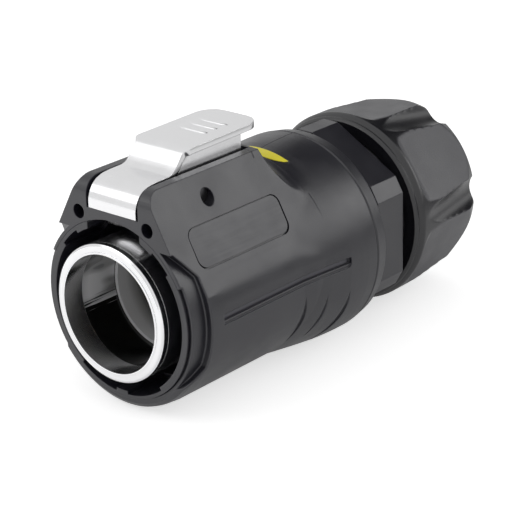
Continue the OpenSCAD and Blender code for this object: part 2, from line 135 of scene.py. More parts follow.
class FinishColours(bpy.types.PropertyGroup):
    """Colours of the finishes."""
    shell: tint("Shell", "Moulded shell, hex and nut", (0.010, 0.0096, 0.0155))
    gloss: tint("Sleeve", "Outside of the mating sleeve", (0.92, 0.92, 0.93))
    nickel: tint("Nickel", "Plated latch and front ring", (0.88, 0.88, 0.89))
    mark: tint("Index mark", "Painted index mark", (1.0, 0.86, 0.04))


class StageSettings(bpy.types.PropertyGroup):
    """Camera and light."""
    azimuth: angle("Azimuth", "Camera azimuth round the connector", 40.979)
    elevation: angle("Elevation", "Camera height angle", 22.093)
    roll: angle("Roll", "Camera roll", -1.575)
    distance: bpy.props.FloatProperty(name="Distance", description="Camera distance from the front ring",
                                      subtype="DISTANCE", unit="LENGTH", default=0.299)
    key: bpy.props.FloatProperty(name="Key light", description="Power of the main soft light in watts",
                                 default=0.85, min=0)
    fill: bpy.props.FloatProperty(name="Fill light", description="Power of the fill light in watts", default=0.7, min=0)
    ambient: bpy.props.FloatProperty(name="Room light", description="Strength of the even room light",
                                     default=0.70, min=0, max=1)


# ---------------------------------------------------------------- meshes

def surface(name, grid, body, close_rows=False, close_cols=False, sharp=40.0):
    """Mesh from a grid of points, rows by columns by 3, in millimetres: each cell of four neighbours is one face.

    Rows run along the first parameter, columns along the second. A closed direction joins its last line to its first.
    """
    rows, cols = grid.shape[:2]
    i = np.arange(rows if close_rows else rows - 1)[:, None]
    j = np.arange(cols if close_cols else cols - 1)[None, :]
    i1, j1 = (i + 1) % rows, (j + 1) % cols
    quads = np.stack([i * cols + j + 0 * j, i1 * cols + j, i1 * cols + j1, i * cols + j1], axis=-1).reshape(-1, 4)
    return solid(name, grid.reshape(-1, 3), quads, body, sharp)


def solid(name, points, faces, body, sharp=40.0):
    """Mesh object from points in millimetres and quads, riding on a body.

    Its poles and seams are merged, and a closed one has its normals turned outward.
    """
    mesh = bpy.data.meshes.new(name)
    mesh.from_pydata((np.asarray(points, dtype=float) * MM).tolist(), [], np.asarray(faces).tolist())
    mesh.update()
    work = bmesh.new()
    work.from_mesh(mesh)
    bmesh.ops.remove_doubles(work, verts=work.verts, dist=1e-7)
    bmesh.ops.dissolve_degenerate(work, edges=work.edges, dist=1e-7)
    if all(edge.is_manifold for edge in work.edges):
        bmesh.ops.recalc_face_normals(work, faces=work.faces)
    work.to_mesh(mesh)
    work.free()
    mesh.polygons.foreach_set("use_smooth", np.ones(len(mesh.polygons), dtype=bool))
    mesh.set_sharp_from_angle(angle=math.radians(sharp))
    piece = bpy.data.objects.new(name, mesh)
    bpy.context.scene.collection.objects.link(piece)
    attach(piece, body)
    return piece


def smooth_line(points, step, blur):
    """Points evenly spaced along a polyline, softened by averaging over a window of that length; the ends stay."""
    points = np.asarray(points, dtype=float)
    run = np.concatenate([[0], np.cumsum(np.linalg.norm(np.diff(points, axis=0), axis=1))])
    s = np.linspace(0, run[-1], max(3, int(run[-1] / step) + 1))
    line = np.stack([np.interp(s, run, points[:, k]) for k in range(points.shape[1])], axis=1)
    n = max(1, int(blur / step))
    first, last = 2 * line[0] - line[n:0:-1], 2 * line[-1] - line[-2:-n - 2:-1]
    padded = np.concatenate([first, line, last])
    window = np.hanning(2 * n + 3)[1:-1]
    window /= window.sum()
    out = np.stack([np.convolve(padded[:, k], window, mode="valid") for k in range(line.shape[1])], axis=1)
    out[0], out[-1] = line[0], line[-1]
    return out


def soft_min(a, b, k):
    """The smaller of two fields with the corner where they meet rounded over a width of k."""
    h = np.clip(0.5 + 0.5 * (b - a) / k, 0, 1)
    return b * (1 - h) + a * h - k * h * (1 - h)


# ---------------------------------------------------------------- finishes

class Finish:
    """A material under construction: one principled shader and the nodes that feed it."""

    def __init__(self, name, colour, **sockets):
        self.material = bpy.data.materials.new(name)
        self.material.use_nodes = True
        self.tree = self.material.node_tree
        self.tree.nodes.clear()
        out = self.node("ShaderNodeOutputMaterial")
        self.shader = self.node("ShaderNodeBsdfPrincipled")
        self.join(self.shader.outputs[0], out.inputs[0])
        self.shader.inputs["Base Color"].default_value = (*colour, 1)
        for socket, value in sockets.items():
            self.shader.inputs[socket.replace("_", " ")].default_value = value
        self.place = self.node("ShaderNodeTexCoord").outputs["Object"]

    def node(self, kind, **settings):
        made = self.tree.nodes.new(kind)
        for key, value in settings.items():
            setattr(made, key, value)
        return made

    def join(self, a, b):
        self.tree.links.new(a, b)

    def math(self, operation, a, b=None, clamp=False):
        made = self.node("ShaderNodeMath", operation=operation, use_clamp=clamp)
        for socket, value in zip(made.inputs, (a, b)):
            if isinstance(value, (int, float)):
                socket.default_value = value
            elif value is not None:
                self.join(value, socket)
        return made.outputs[0]

    def times(self, first, *others):
        """Product of two or more fields."""
        for other in others:
            first = self.math("MULTIPLY", first, other)
        return first

    def plus(self, first, *others):
        """Sum of two or more fields."""
        for other in others:
            first = self.math("ADD", first, other)
        return first

    def within(self, value, start, end, rise, fall):
        """One between start and end: it climbs from nought over the rise and is back at nought after the fall."""
        return self.times(self.spread(value, 0, 1, start, start + rise), self.spread(value, 1, 0, end - fall, end))

    def noise(self, size_mm, detail=2.0, stretch=(1, 1, 1)):
        """Noise whose grains are about size_mm across, stretched along the axes."""
        place = self.node("ShaderNodeMapping")
        place.inputs["Scale"].default_value = tuple(1 / s for s in stretch)
        self.join(self.place, place.inputs[0])
        made = self.node("ShaderNodeTexNoise")
        made.inputs["Scale"].default_value = 1 / (size_mm * MM)
        made.inputs["Detail"].default_value = detail
        self.join(place.outputs[0], made.inputs["Vector"])
        return made.outputs["Fac"]

    def spread(self, value, low, high, start=0.0, end=1.0):
        """Maps start..end to low..high."""
        made = self.node("ShaderNodeMapRange")
        self.join(value, made.inputs["Value"])
        for socket, number in zip(("From Min", "From Max", "To Min", "To Max"), (start, end, low, high)):
            made.inputs[socket].default_value = number
        return made.outputs[0]

    def blend(self, share, a, b):
        """Mixes two colours by a share."""
        made = self.node("ShaderNodeMix", data_type="RGBA")
        self.join(share, made.inputs["Factor"])
        for socket, value in ((made.inputs[6], a), (made.inputs[7], b)):
            if isinstance(value, tuple):
                socket.default_value = (*value[:3], 1)
            else:
                self.join(value, socket)
        return made.outputs[2]

    def rounded(self, radius_mm, samples=6):
        """Normal of the surface with its edges rounded to a radius, a number or a field in millimetres."""
        made = self.node("ShaderNodeBevel", samples=samples)
        if isinstance(radius_mm, (int, float)):
            made.inputs["Radius"].default_value = radius_mm * MM
        else:
            self.join(self.math("MULTIPLY", radius_mm, MM), made.inputs["Radius"])
        return made.outputs[0]

    def edge(self, normal, low=0.02, high=0.25):
        """Share that is one on a rounded edge and nought on a face, from how far the two normals part."""
        true = self.node("ShaderNodeNewGeometry").outputs["True Normal"]
        dot = self.node("ShaderNodeVectorMath", operation="DOT_PRODUCT")
        self.join(normal, dot.inputs[0])
        self.join(true, dot.inputs[1])
        return self.spread(dot.outputs["Value"], 1, 0, 1 - high, 1 - low)

    def raise_by(self, height, depth_mm, normal=None, strength=1.0):
        """Bump of a given depth on top of a normal."""
        made = self.node("ShaderNodeBump")
        made.inputs["Strength"].default_value = strength
        made.inputs["Distance"].default_value = depth_mm * MM
        self.join(height, made.inputs["Height"])
        if normal is not None:
            self.join(normal, made.inputs["Normal"])
        return made.outputs[0]

    def along(self, axis):
        """Object coordinate along an axis, in millimetres."""
        made = self.node("ShaderNodeSeparateXYZ")
        self.join(self.place, made.inputs[0])
        return self.math("DIVIDE", made.outputs["XYZ".index(axis)], MM)

    def given(self, name):
        """Number stored on the mesh under a name."""
        return self.node("ShaderNodeAttribute", attribute_name=name).outputs["Fac"]

    def line(self, value, at, half):
        """One on a thin line where value is at, nought beyond half on either side."""
        return self.spread(self.math("ABSOLUTE", self.math("SUBTRACT", value, at)), 1, 0, 0, half)

    def feed(self, **links):
        for socket, source in links.items():
            self.join(source, self.shader.inputs[socket.replace("_", " ")])
        return self.material


def shade(colour, factor):
    """A colour made lighter or darker."""
    return tuple(min(1.0, c * factor) for c in colour)


def moulded(name, colour, rough=0.35, grain=0.16, depth=0.018, edge=0.25, wear_and_sheen_lift=2.6, marks=None, flow=None):
    """Satin moulded plastic: fine spark grain, slow mottling, rounded edges that are a little paler, partly wear where
    handled and partly painted sheen.

    marks, if given, takes the finish and returns a height field of mould lines or threads, its depth and the share of
    plastic painted paler as a painted highlight. flow returns the radius to which edges are rounded from place to
    place.
    """
    f = Finish(name, colour, Specular_IOR_Level=1.0, IOR=1.46)
    grain_fine = f.noise(grain, 3)
    grain_wide = f.noise(6.0, 3)
    rounded = f.rounded(edge)
    # Edges are lightened in base colour: partly wear, patchy by noise, and partly painted sheen along every edge.
    wear_and_sheen = f.math("MULTIPLY", f.edge(rounded), f.spread(f.noise(1.4, 4), 0.3, 1.0, 0.35, 0.65), clamp=True)
    if flow is not None:
        rounded = f.rounded(flow(f), samples=12)
    mottled = f.blend(grain_wide, shade(colour, 0.85), shade(colour, 1.15))
    normal = rounded
    if marks is not None:
        height, mark_depth, pale = marks(f)
        # The marks' painted highlight joins the edge wear and painted sheen.
        wear_and_sheen = f.math("MAXIMUM", wear_and_sheen, pale)
        normal = f.raise_by(height, mark_depth, rounded)
    return f.feed(
        Base_Color=f.blend(wear_and_sheen, mottled, shade(colour, wear_and_sheen_lift)),
        Roughness=f.plus(f.spread(grain_wide, rough - 0.05, rough + 0.05, 0.3, 0.7), f.spread(grain_fine, -0.04, 0.04)),
        Normal=f.raise_by(grain_fine, depth, normal))


def shell_flow(f):
    """Edge rounding of the shell in millimetres: fine at its cut edges and finest round the name plate, medium in the
    front reliefs, and broad where the side flats, the barrel and the flare run together.
    """
    y, z = f.along("Y"), f.along("Z")
    below_plate = f.times(f.spread(z, 1, 0, 7.5, 8.1), f.spread(y, 0, 1, 7.0, 9.5))
    behind_plate = f.times(f.spread(z, 1, 0, 11.0, 15.0), f.spread(y, 0, 1, 28.7, 30.2))
    behind_scoop = f.times(f.spread(z, 1, 0, 14.8, 16.4), f.spread(y, 0, 1, 33.2, 34.0))
    sides = f.math("MAXIMUM", below_plate, f.math("MAXIMUM", behind_plate, behind_scoop))
    above_channel = f.spread(z, 0, 1, 1.9, 2.7)
    before_seam = f.spread(y, 1, 0, 43.6, 44.6)
    broad = f.times(sides, above_channel, before_seam)
    relief = f.times(f.spread(f.math("ABSOLUTE", f.along("X")), 0, 1, 12.2, 13.0), f.spread(y, 1, 0, 6.4, 7.2))
    plate = f.times(f.line(y, PLATE_MID_Y, 11.4), f.line(z, PLATE_MID_Z, 3.5))
    return f.plus(f.spread(plate, 0.22, 0.05, 0.0, 0.02), f.times(broad, 2.6), f.times(relief, 0.3))


def shell_lines(f):
    """Mould lines of the shell: along the top behind the housing, across each ear strip and along both side channels,
    whose floor is painted a little paler as a painted highlight.
    """
    x, y, z = f.along("X"), f.along("Y"), f.along("Z")
    top_rear = f.math("GREATER_THAN", f.times(z, f.math("GREATER_THAN", y, 37.3)), 1.0)
    seam = f.times(f.line(x, 0.0, 0.16), top_rear)
    across = f.times(f.line(y, 26.8, 0.14), f.math("GREATER_THAN", z, 20.0))
    sides = f.math("GREATER_THAN", f.math("ABSOLUTE", x), CHANNEL_MIN_X)
    along = f.times(f.within(y, *CHANNEL_Y, 0.3, 0.4), sides)
    creases = f.times(f.plus(f.line(z, 0.3, 0.14), f.line(z, 1.42, 0.16)), along)
    # Painted highlight: the channel floor is painted paler.
    floor = f.times(f.line(z, 0.86, 0.6), along)
    return f.math("SUBTRACT", seam, f.plus(across, creases)), 0.08, floor


def nut_plastic(name, colour):
    """Moulded plastic of the gland nut: spark grain on the grip pads; the flutes between are smoother and darkened with
    painted shade.
    """
    f = Finish(name, colour, Specular_IOR_Level=1.0, IOR=1.46)
    pad = f.given("pad")
    grain = f.noise(0.26, 3)
    wide = f.noise(6.0, 3)
    # Painted shade: the flutes take a much darker copy of the plastic than the pads.
    flute_painted_shade = f.blend(wide, shade(colour, 0.35), shade(colour, 0.55))
    pad_colour = f.blend(wide, shade(colour, 0.95), shade(colour, 1.35))
    return f.feed(
        Base_Color=f.blend(pad, flute_painted_shade, pad_colour),
        Roughness=f.plus(f.spread(pad, 0.31, 0.37), f.spread(wide, -0.04, 0.04, 0.3, 0.7)),
        Normal=f.raise_by(grain, 0.028, f.rounded(0.16)))


def gland_thread(f):
    """Screw thread in front of the nut: a ridge of triangular section that climbs one pitch each turn."""
    x, y, z = f.along("X"), f.along("Y"), f.along("Z")
    turn = f.math("DIVIDE", f.math("ARCTAN2", z, x), 2 * math.pi)
    climb = f.plus(f.math("DIVIDE", y, THREAD_PITCH), turn)
    return f.times(f.math("PINGPONG", climb, 0.5), f.math("GREATER_THAN", y, THREAD_FROM_Y)), 1.2, 0.0


def polished(name, colour, bore=(0.004, 0.004, 0.004), painted_reflection_tone=(0.72, 0.72, 0.73)):
    """Bright plating outside, glossy black in the bore, streaked where the mating plug slides, with a pale area of
    painted reflection.

    The painted reflection lies on the left wall from the ring's skirt to the step, is a little rougher there and is
    feathered along its borders. Past the step a strip of the same painted reflection lines the narrower wall.
    """
    f = Finish(name, colour, Specular_IOR_Level=0.5)
    lines = f.noise(0.45, 3, (1, 40, 1))
    broad = f.noise(4.5, 2, (1, 3, 1))
    x, y, z = f.along("X"), f.along("Y"), f.along("Z")
    radius = f.math("SQRT", f.plus(f.math("POWER", x, 2.0), f.math("POWER", z, 2.0)))
    inside = f.math("LESS_THAN", radius, SLEEVE_MID_R)
    # Two planes through the axis bound the painted reflection: a sharp, feathered border below and a soft one above.
    feather = f.times(f.math("SUBTRACT", lines, 0.5), 9.0)
    from_lower = f.plus(f.math("SUBTRACT", f.times(z, 0.961), f.times(x, 0.276)), feather)
    from_upper = f.plus(f.times(x, -0.5), f.times(z, -0.866))
    # Painted reflection: a pale tone painted on the left bore wall in place of reflected light.
    painted_reflection_patch = f.times(f.spread(from_lower, 0, 1, 0.0, 0.6), f.spread(from_upper, 0, 1, -3.0, 2.5),
                    f.spread(y, 0.15, 1, 1.5, 5.5), f.spread(y, 1, 0, BORE_STEP_Y - 0.3, BORE_STEP_Y),
                    f.spread(broad, 0.25, 1, 0.38, 0.55))
    # Painted reflection: a pale strip painted on the narrower wall past the step.
    painted_reflection_band = f.times(f.math("LESS_THAN", radius, BORE_R - 0.04), f.math("GREATER_THAN", y, BORE_STEP_Y - 0.05),
                   f.spread(y, 1, 0, BORE_STEP_Y + 2, BORE_STEP_Y + 6))
    satin_and_painted_reflection = f.math("MAXIMUM", painted_reflection_patch, painted_reflection_band)
    return f.feed(
        Base_Color=f.blend(inside, colour, f.blend(satin_and_painted_reflection, bore, painted_reflection_tone)),
        Metallic=f.math("SUBTRACT", 1.0, inside),
        Roughness=f.math("SUBTRACT", f.spread(satin_and_painted_reflection, 0.24, 0.44), f.times(inside, 0.06)),
        Normal=f.raise_by(f.plus(broad, f.times(lines, inside, 0.12)), 0.02, f.rounded(0.12)))


def plated(name, colour, rough=0.26, brush=(20, 1, 1), depth=0.002, edge=0.12):
    """Satin plating over pressed or turned metal: short brush lines, cloudy roughness and edges made brighter, partly
    wear and partly painted sheen.
    """
    f = Finish(name, colour, Metallic=1.0)
    lines = f.noise(0.12, 2, brush)
    cloud = f.noise(2.5, 3)
    rounded = f.rounded(edge)
    # Every edge is brightened in base colour: partly wear, partly painted sheen.
    wear_and_sheen = f.edge(rounded)
    return f.feed(
        Base_Color=f.blend(wear_and_sheen, f.blend(cloud, shade(colour, 0.95), shade(colour, 1.03)), shade(colour, 1.1)),
        Roughness=f.plus(f.spread(cloud, rough - 0.02, rough + 0.03, 0.3, 0.7), f.spread(lines, -0.02, 0.02)),
        Normal=f.raise_by(lines, depth, rounded))


def rubber(name, colour, rough=0.75):
    """Matt rubber with a dusty bloom."""
    f = Finish(name, colour, Specular_IOR_Level=0.35)
    dust = f.noise(1.8, 4)
    grain = f.noise(0.1, 2)
    return f.feed(
        Base_Color=f.blend(dust, shade(colour, 0.9), shade(colour, 1.3)),
        Roughness=f.spread(dust, rough - 0.08, rough + 0.08, 0.3, 0.7),
        Normal=f.raise_by(grain, 0.01, f.rounded(0.2)))


def painted(name, colour, rough=0.4):
    """Filled paint with orange peel and a thin worn rim."""
    f = Finish(name, colour, Specular_IOR_Level=0.5)
    peel = f.noise(0.35, 2)
    rounded = f.rounded(0.15)
    tired = f.math("MULTIPLY", f.edge(rounded), f.spread(f.noise(0.7, 4), 0, 1, 0.45, 0.6), clamp=True)
    fresh = f.blend(f.noise(1.5, 3), shade(colour, 0.93), shade(colour, 1.05))
    return f.feed(
        Base_Color=f.blend(tired, fresh, shade(colour, 0.35)),
        Roughness=f.spread(peel, rough - 0.06, rough + 0.06, 0.3, 0.7),
        Normal=f.raise_by(peel, 0.02, rounded))


def streaked(name, colour, rough=0.36):
    """Smooth moulded plate with faint lines drawn along the connector."""
    f = Finish(name, colour, Specular_IOR_Level=1.0, IOR=1.46)
    lines = f.noise(0.35, 3, (1, 22, 1))
    cloud = f.noise(4.0, 3)
    return f.feed(
        Base_Color=f.blend(lines, shade(colour, 0.8), shade(colour, 1.25)),
        Roughness=f.plus(f.spread(cloud, rough - 0.04, rough + 0.04, 0.3, 0.7), f.spread(lines, -0.08, 0.08)),
        Normal=f.raise_by(lines, 0.006, f.rounded(0.12)))


def dress(node, material):
    """Gives a frame node its finish."""
    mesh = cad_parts[node].data
    mesh.materials.clear()
    mesh.materials.append(material)


# ---------------------------------------------------------------- pieces

def latch_run():
    """Top line of the latch sheet in Y and Z: up the face, over the brow, up the neck and along the tab."""
    corners = [
        (FACE_Y, 16.25), (FACE_Y, EAR_Z - 3.3), (FACE_Y + 0.35, EAR_Z - 2.2), (FACE_Y + 1, EAR_Z - 1.2),
        (FACE_Y + 1.9, EAR_Z - 0.5), (FACE_Y + 3.3, EAR_Z - 0.05), (FACE_Y + 5, EAR_Z + 0.1),
        (FACE_Y + 7.8, EAR_Z + 0.15), (FACE_Y + 8.7, EAR_Z + 0.45), (PIVOT_Y - 2.4, EAR_Z + 1.25),
        (PIVOT_Y - 1.4, EAR_Z + 2.5), (PIVOT_Y - 0.7, EAR_Z + 3.3), (PIVOT_Y + 0.3, EAR_Z + 3.7),
        (TAB_END_Y, EAR_Z + 3.95)]
    return smooth_line(corners, 0.16, 0.6)


def thicken(piece, thickness, edge):
    """Gives a sheet its thickness below its outer side, and rounds its rim."""
    thick = piece.modifiers.new("thick", "SOLIDIFY")
    thick.thickness = thickness * MM
    thick.offset = -1
    thick.use_even_offset = True
    round_rim(piece, edge)


def round_rim(piece, edge):
    """Rounds the sharp edges of a piece."""
    rim = piece.modifiers.new("rim", "BEVEL")
    rim.width = edge * MM
    rim.segments = 3
    rim.limit_method = "ANGLE"
    rim.angle_limit = math.radians(50)
    rim.harden_normals = False


def strip(name, y, low, high, x, outward):
    """Upright sheet between two lines: Z runs from low to high at each Y, at one X, facing outward or inward."""
    t = np.linspace(0, 1, 9)
    z = low[:, None] + t * (high - low)[:, None]
    grid = np.stack([x + 0 * z, y[:, None] + 0 * z, z], axis=-1)
    return surface(name, grid if outward else grid[:, ::-1], "latch")


class CONNECTOR_OT_latch(bpy.types.Operator):
    """Build the pressed latch: sheet, cheeks, pivot bosses, hook and grip bars"""
    bl_idname = "connector.latch"
    bl_label = "Latch"

    def execute(self, context):
        scene = context.scene
        sizes = scene.latch_sizes
        nickel = plated("latch nickel", tuple(scene.finish_colours.nickel), rough=0.24, brush=(12, 1, 1))
        t = sizes.sheet

        # Sheet: each point of the top line is spread across its width, which grows at the neck, then rounds off.
        line = latch_run()
        y = line[:, 0]
        neck = np.clip((y - 12.9) / 1.1, 0, 1)
        half = sizes.slot_half + (sizes.tab_half - sizes.slot_half) * neck * neck * (3 - 2 * neck)
        into = np.clip((y - (y[-1] - sizes.corner)) / sizes.corner, 0, 1)
        half = half - sizes.corner * (1 - np.sqrt(1 - into ** 2))
        u = np.sin(np.linspace(1, -1, 41) * math.pi / 2)
        grid = np.stack([half[:, None] * u, y[:, None] + 0 * u, line[:, 1][:, None] + 0 * u], axis=-1)
        sheet = surface("latch_sheet", grid, "latch")
        thicken(sheet, t, 0.22)

        # Cheeks: upright strips below the sheet, between a lower line over the pivot and an upper line under the sheet.
        run = np.linspace(FACE_Y + 2.2, TAB_END_Y - 4.6, 90)
        under = np.interp(run, y[np.argsort(y)], line[np.argsort(y), 1]) - t * 0.9
        top = np.interp(run, [FACE_Y + 2, FACE_Y + 4, PIVOT_Y - 4.5, PIVOT_Y - 2, PIVOT_Y + 0.6, 26.8],
                        [EAR_Z - 1.6, EAR_Z - 0.9, EAR_Z - 0.7, EAR_Z + 0.5, EAR_Z + 2.9, EAR_Z + 3.1])
        under = np.minimum(under, top)
        over_pin = PIVOT_Z + np.sqrt(np.clip(PIN_ARCH_R ** 2 - (run - PIVOT_Y) ** 2, 0, None))
        low = np.interp(run, [FACE_Y + 2, PIVOT_Y - 2.4, PIVOT_Y, PIVOT_Y + 2.5, PIVOT_Y + 6, 26.8],
                        [EAR_Z - 2, PIVOT_Z - 0.1, PIVOT_Z, PIVOT_Z + 0.5, PIVOT_Z + 1.5, PIVOT_Z + 2.1])
        low = np.where(np.abs(run - PIVOT_Y) < PIN_ARCH_R, over_pin, low)
        pieces = [sheet]
        for side, word in ((1, "right"), (-1, "left")):
            cheek = strip(f"latch_cheek_{word}", run, low, under, side * sizes.slot_half, side > 0)
            thicken(cheek, t, 0.12)
            pieces.append(cheek)
            # Boss: a short tube about the pivot, its section a square carried round the pin.
            turn = np.linspace(0, 2 * math.pi, 48, endpoint=False)
            section = np.array([(1.36, 0), (1.95, 0), (1.95, -t), (1.36, -t)])
            ring = np.stack([side * (sizes.slot_half + section[:, 1])[None, :] + 0 * turn[:, None],
                             PIVOT_Y + section[:, 0] * np.cos(turn)[:, None],
                             PIVOT_Z + section[:, 0] * np.sin(turn)[:, None]], axis=-1)
            ring = ring if side < 0 else ring[::-1]
            pieces.append(surface(f"latch_boss_{word}", ring, "latch", True, True))

        # Hook: a closed section in Y and Z carried across the latch, its ends drawn to their middle.
        section = np.array([(5.3, 12.9), (5.45, 12.7), (5.8, 12.6), (6.15, 12.8), (6.7, 13.4), (6.7, 20.3), (5.5, 20.3),
                            (5.3, 15.5)])
        middle = section.mean(axis=0)
        reach = np.array([(-4.45, 0.0), (-4.45, 0.97), (-4.38, 1.0), (4.38, 1.0), (4.45, 0.97), (4.45, 0.0)])
        loop = middle + (section - middle)[None] * reach[:, 1][:, None, None]
        grid = np.concatenate([reach[:, 0][:, None, None] + 0 * loop[..., :1], loop], axis=-1)
        pieces.append(surface("latch_hook", grid, "latch", False, True))

        # Grip bars: low domes over a rounded bar, height falling with the fourth power of the distance from the middle.
        theta = np.linspace(0, 2 * math.pi, 40, endpoint=False)
        radius = np.array([0.0, 0.35, 0.6, 0.78, 0.9, 0.97, 1.0, 1.0, 0.0])
        rise = np.array([1, 0.99, 0.94, 0.83, 0.65, 0.4, 0.0, -1.0, -1.0]) * 0.17
        c, n = np.cos(theta), np.sin(theta)
        bar_x = 3.1 * np.sign(c) * np.abs(c) ** 0.5
        bar_y = 0.45 * np.sign(n) * np.abs(n) ** 0.8
        for k in range(sizes.bars):
            mid = TAB_END_Y - 10.35 + 2.4 * k
            top = np.interp(mid, y[-60:], line[-60:, 1]) - 0.01
            grid = np.stack([radius[:, None] * bar_x, mid + radius[:, None] * bar_y, top + rise[:, None] + 0 * bar_x],
                            axis=-1)
            pieces.append(surface(f"latch_grip_{k + 1}", grid, "latch", False, True))

        for piece in pieces:
            piece.data.materials.append(nickel)
            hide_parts("latch_lever")
        return {"FINISHED"}


class CONNECTOR_OT_shell(bpy.types.Operator):
    """Finish the shell, its end ring, name plate and index mark"""
    bl_idname = "connector.shell"
    bl_label = "Shell"

    def execute(self, context):
        colours = context.scene.finish_colours
        shell = moulded("shell plastic", tuple(colours.shell), marks=shell_lines, flow=shell_flow)
        dress("outer_shell", shell)
        dress("end_ring", shell)
        dress("name_plate", streaked("plate plastic", tuple(colours.shell)))
        dress("index_mark", painted("index paint", tuple(colours.mark)))
        return {"FINISHED"}


class CONNECTOR_OT_mating_end(bpy.types.Operator):
    """Finish the collar, sleeve, ring, insert and contacts"""
    bl_idname = "connector.mating_end"
    bl_label = "Mating end"

    def execute(self, context):
        colours = context.scene.finish_colours
        dress("coupling_collar", moulded("collar plastic", shade(colours.shell, 0.9), rough=0.36))
        dress("mating_sleeve", polished("sleeve gloss", tuple(colours.gloss)))
        dress("front_ring", plated("ring nickel", tuple(colours.nickel), rough=0.18, brush=(1, 1, 1), depth=0.006))
        dress("contact_insert", moulded("insert plastic", shade(colours.shell, 0.5), rough=0.5))
        dress("latch_pin", plated("pin steel", (0.09, 0.09, 0.095), rough=0.28))
        dress("contacts", plated("contact gold", (0.83, 0.60, 0.24), rough=0.2))
        dress("interface_seal", rubber("interface rubber", (0.025, 0.025, 0.025)))
        return {"FINISHED"}


class CONNECTOR_OT_inside(bpy.types.Operator):
    """Finish the pieces inside the shell"""
    bl_idname = "connector.inside"
    bl_label = "Inside"

    def execute(self, context):
        steel = plated("plain steel", (0.56, 0.56, 0.58), rough=0.34)
        for node in ("insert_stop", "latch_spring", "gland_washer"):
            dress(node, steel)
        seal = rubber("seal rubber", (0.03, 0.03, 0.03))
        dress("back_seal", seal)
        dress("gland_seal", seal)
        inner = moulded("inner plastic", (0.07, 0.07, 0.075), rough=0.5)
        dress("clamp_tube", inner)
        dress("gland_claw", inner)
        return {"FINISHED"}


def nut_skin(sizes):
    """Outer skin of the gland nut: its lengths, angles and radii, and the share of each point that lies on a flat.

    It is the least of three fields, with the corners between them rounded: a turned profile, six flats that lie at one
    distance from the axis at each length, and between them six round flutes that deepen toward the cable end.
    """
    r = sizes.radius
    turned = smooth_line([(NUT_Y, r - 1.0), (NUT_Y + 0.45, r - 0.5), (NUT_Y + 0.65, r - 0.5), (NUT_Y + 0.8, r - 0.66),
                          (NUT_Y + 1.0, r - 0.66), (NUT_Y + 1.2, r - 0.4), (NUT_Y + 1.8, r), (NUT_Y + 6.3, r),
                          (NUT_Y + 10.3, r - 0.1), (NUT_END_Y - 7.3, r - 0.35), (NUT_END_Y - 4.1, r - 0.75),
                          (NUT_END_Y - 0.8, r - 2.2), (NUT_END_Y - 0.25, r - 2.75), (NUT_END_Y, r - 3.4),
                          (NUT_END_Y, r - 4.2)], 0.15, 0.22)
    y, body = turned[:, 0][:, None], turned[:, 1][:, None]
    into = np.clip((y - NUT_Y - 2.2) / 2.1, 0, 1)
    flat = r + 0.1 - 1.25 * np.sqrt(1 - (1 - into) ** 2) - 0.06 * np.clip(y - NUT_Y - 4.3, 0, None)
    flat = np.where(into > 0, flat, r + 1)
    theta = np.linspace(0, 2 * math.pi, NUT_COLUMNS, endpoint=False)[None, :]
    off_flat = (theta - sizes.turn) % (math.pi / 3) - math.pi / 6
    off_flute = (theta - sizes.turn + math.pi / 6) % (math.pi / 3) - math.pi / 6
    centre = r + sizes.flute - math.tan(sizes.tilt) * (y - NUT_Y - 2.8)
    inside = sizes.flute ** 2 - (centre * np.sin(off_flute)) ** 2
    flute = centre * np.cos(off_flute) - np.sign(inside) * np.sqrt(np.abs(inside))
    flat = flat / np.cos(off_flat)
    skin = soft_min(soft_min(body + 0 * theta, flat, sizes.soft), flute, sizes.soft)
    return y, theta, np.minimum(skin, body), np.clip(1 + (np.minimum(body, flute) - flat) / 0.12, 0, 1)


class CONNECTOR_OT_rear(bpy.types.Operator):
    """Finish the back body and build the fluted gland nut"""
    bl_idname = "connector.rear"
    bl_label = "Hex and nut"

    def execute(self, context):
        scene = context.scene
        colours = scene.finish_colours
        dress("back_body", moulded("hex plastic", tuple(colours.shell), rough=0.34, grain=0.2, depth=0.014,
                                   marks=gland_thread))
        y, theta, skin, pads = nut_skin(scene.nut_sizes)
        outer = np.stack([skin * np.cos(theta), y + 0 * theta, skin * np.sin(theta)], axis=-1)
        # Inner wall: rear mouth, cable exit, seat and threaded bore, turned about the axis, back to the front face.
        inner = np.array([(12.6, NUT_END_Y), (8.1, NUT_END_Y), (7.8, NUT_END_Y - 0.1), (7.2, NUT_END_Y - 0.8),
                          (7.2, NUT_END_Y - 3.9), (13.1, NUT_END_Y - 3.9), (13.1, NUT_END_Y - 10.2),
                          (13.68, NUT_END_Y - 10.2), (13.68, NUT_Y + 0.3), (14.0, NUT_Y), (15.9, NUT_Y)])
        ring = np.stack([inner[:, :1] * np.cos(theta), inner[:, 1:] + 0 * theta, inner[:, :1] * np.sin(theta)], axis=-1)
        nut = surface("gland_nut_skin", np.concatenate([outer, ring]), "nut", True, True, 32)
        # Each vertex takes the share of the flats at its own angle and length. The inner wall has none.
        places = np.array([v.co for v in nut.data.vertices]) / MM
        row = np.abs(places[:, 1:2] - y[:, 0]).argmin(axis=1)
        turn = np.arctan2(places[:, 2], places[:, 0]) / (2 * math.pi)
        column = np.round(turn * theta.size).astype(int) % theta.size
        outside = np.hypot(places[:, 0], places[:, 2]) > scene.nut_sizes.radius - 3.8
        pad = nut.data.attributes.new("pad", "FLOAT", "POINT")
        pad.data.foreach_set("value", (pads[row, column] * outside).astype(np.float32))
        nut.data.materials.append(nut_plastic("nut plastic", tuple(colours.shell)))
        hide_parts("gland_nut")
        return {"FINISHED"}


# ---------------------------------------------------------------- stage

WHITE, PALE = (1, 1, 1, 1), (0.8, 0.8, 0.8, 1)
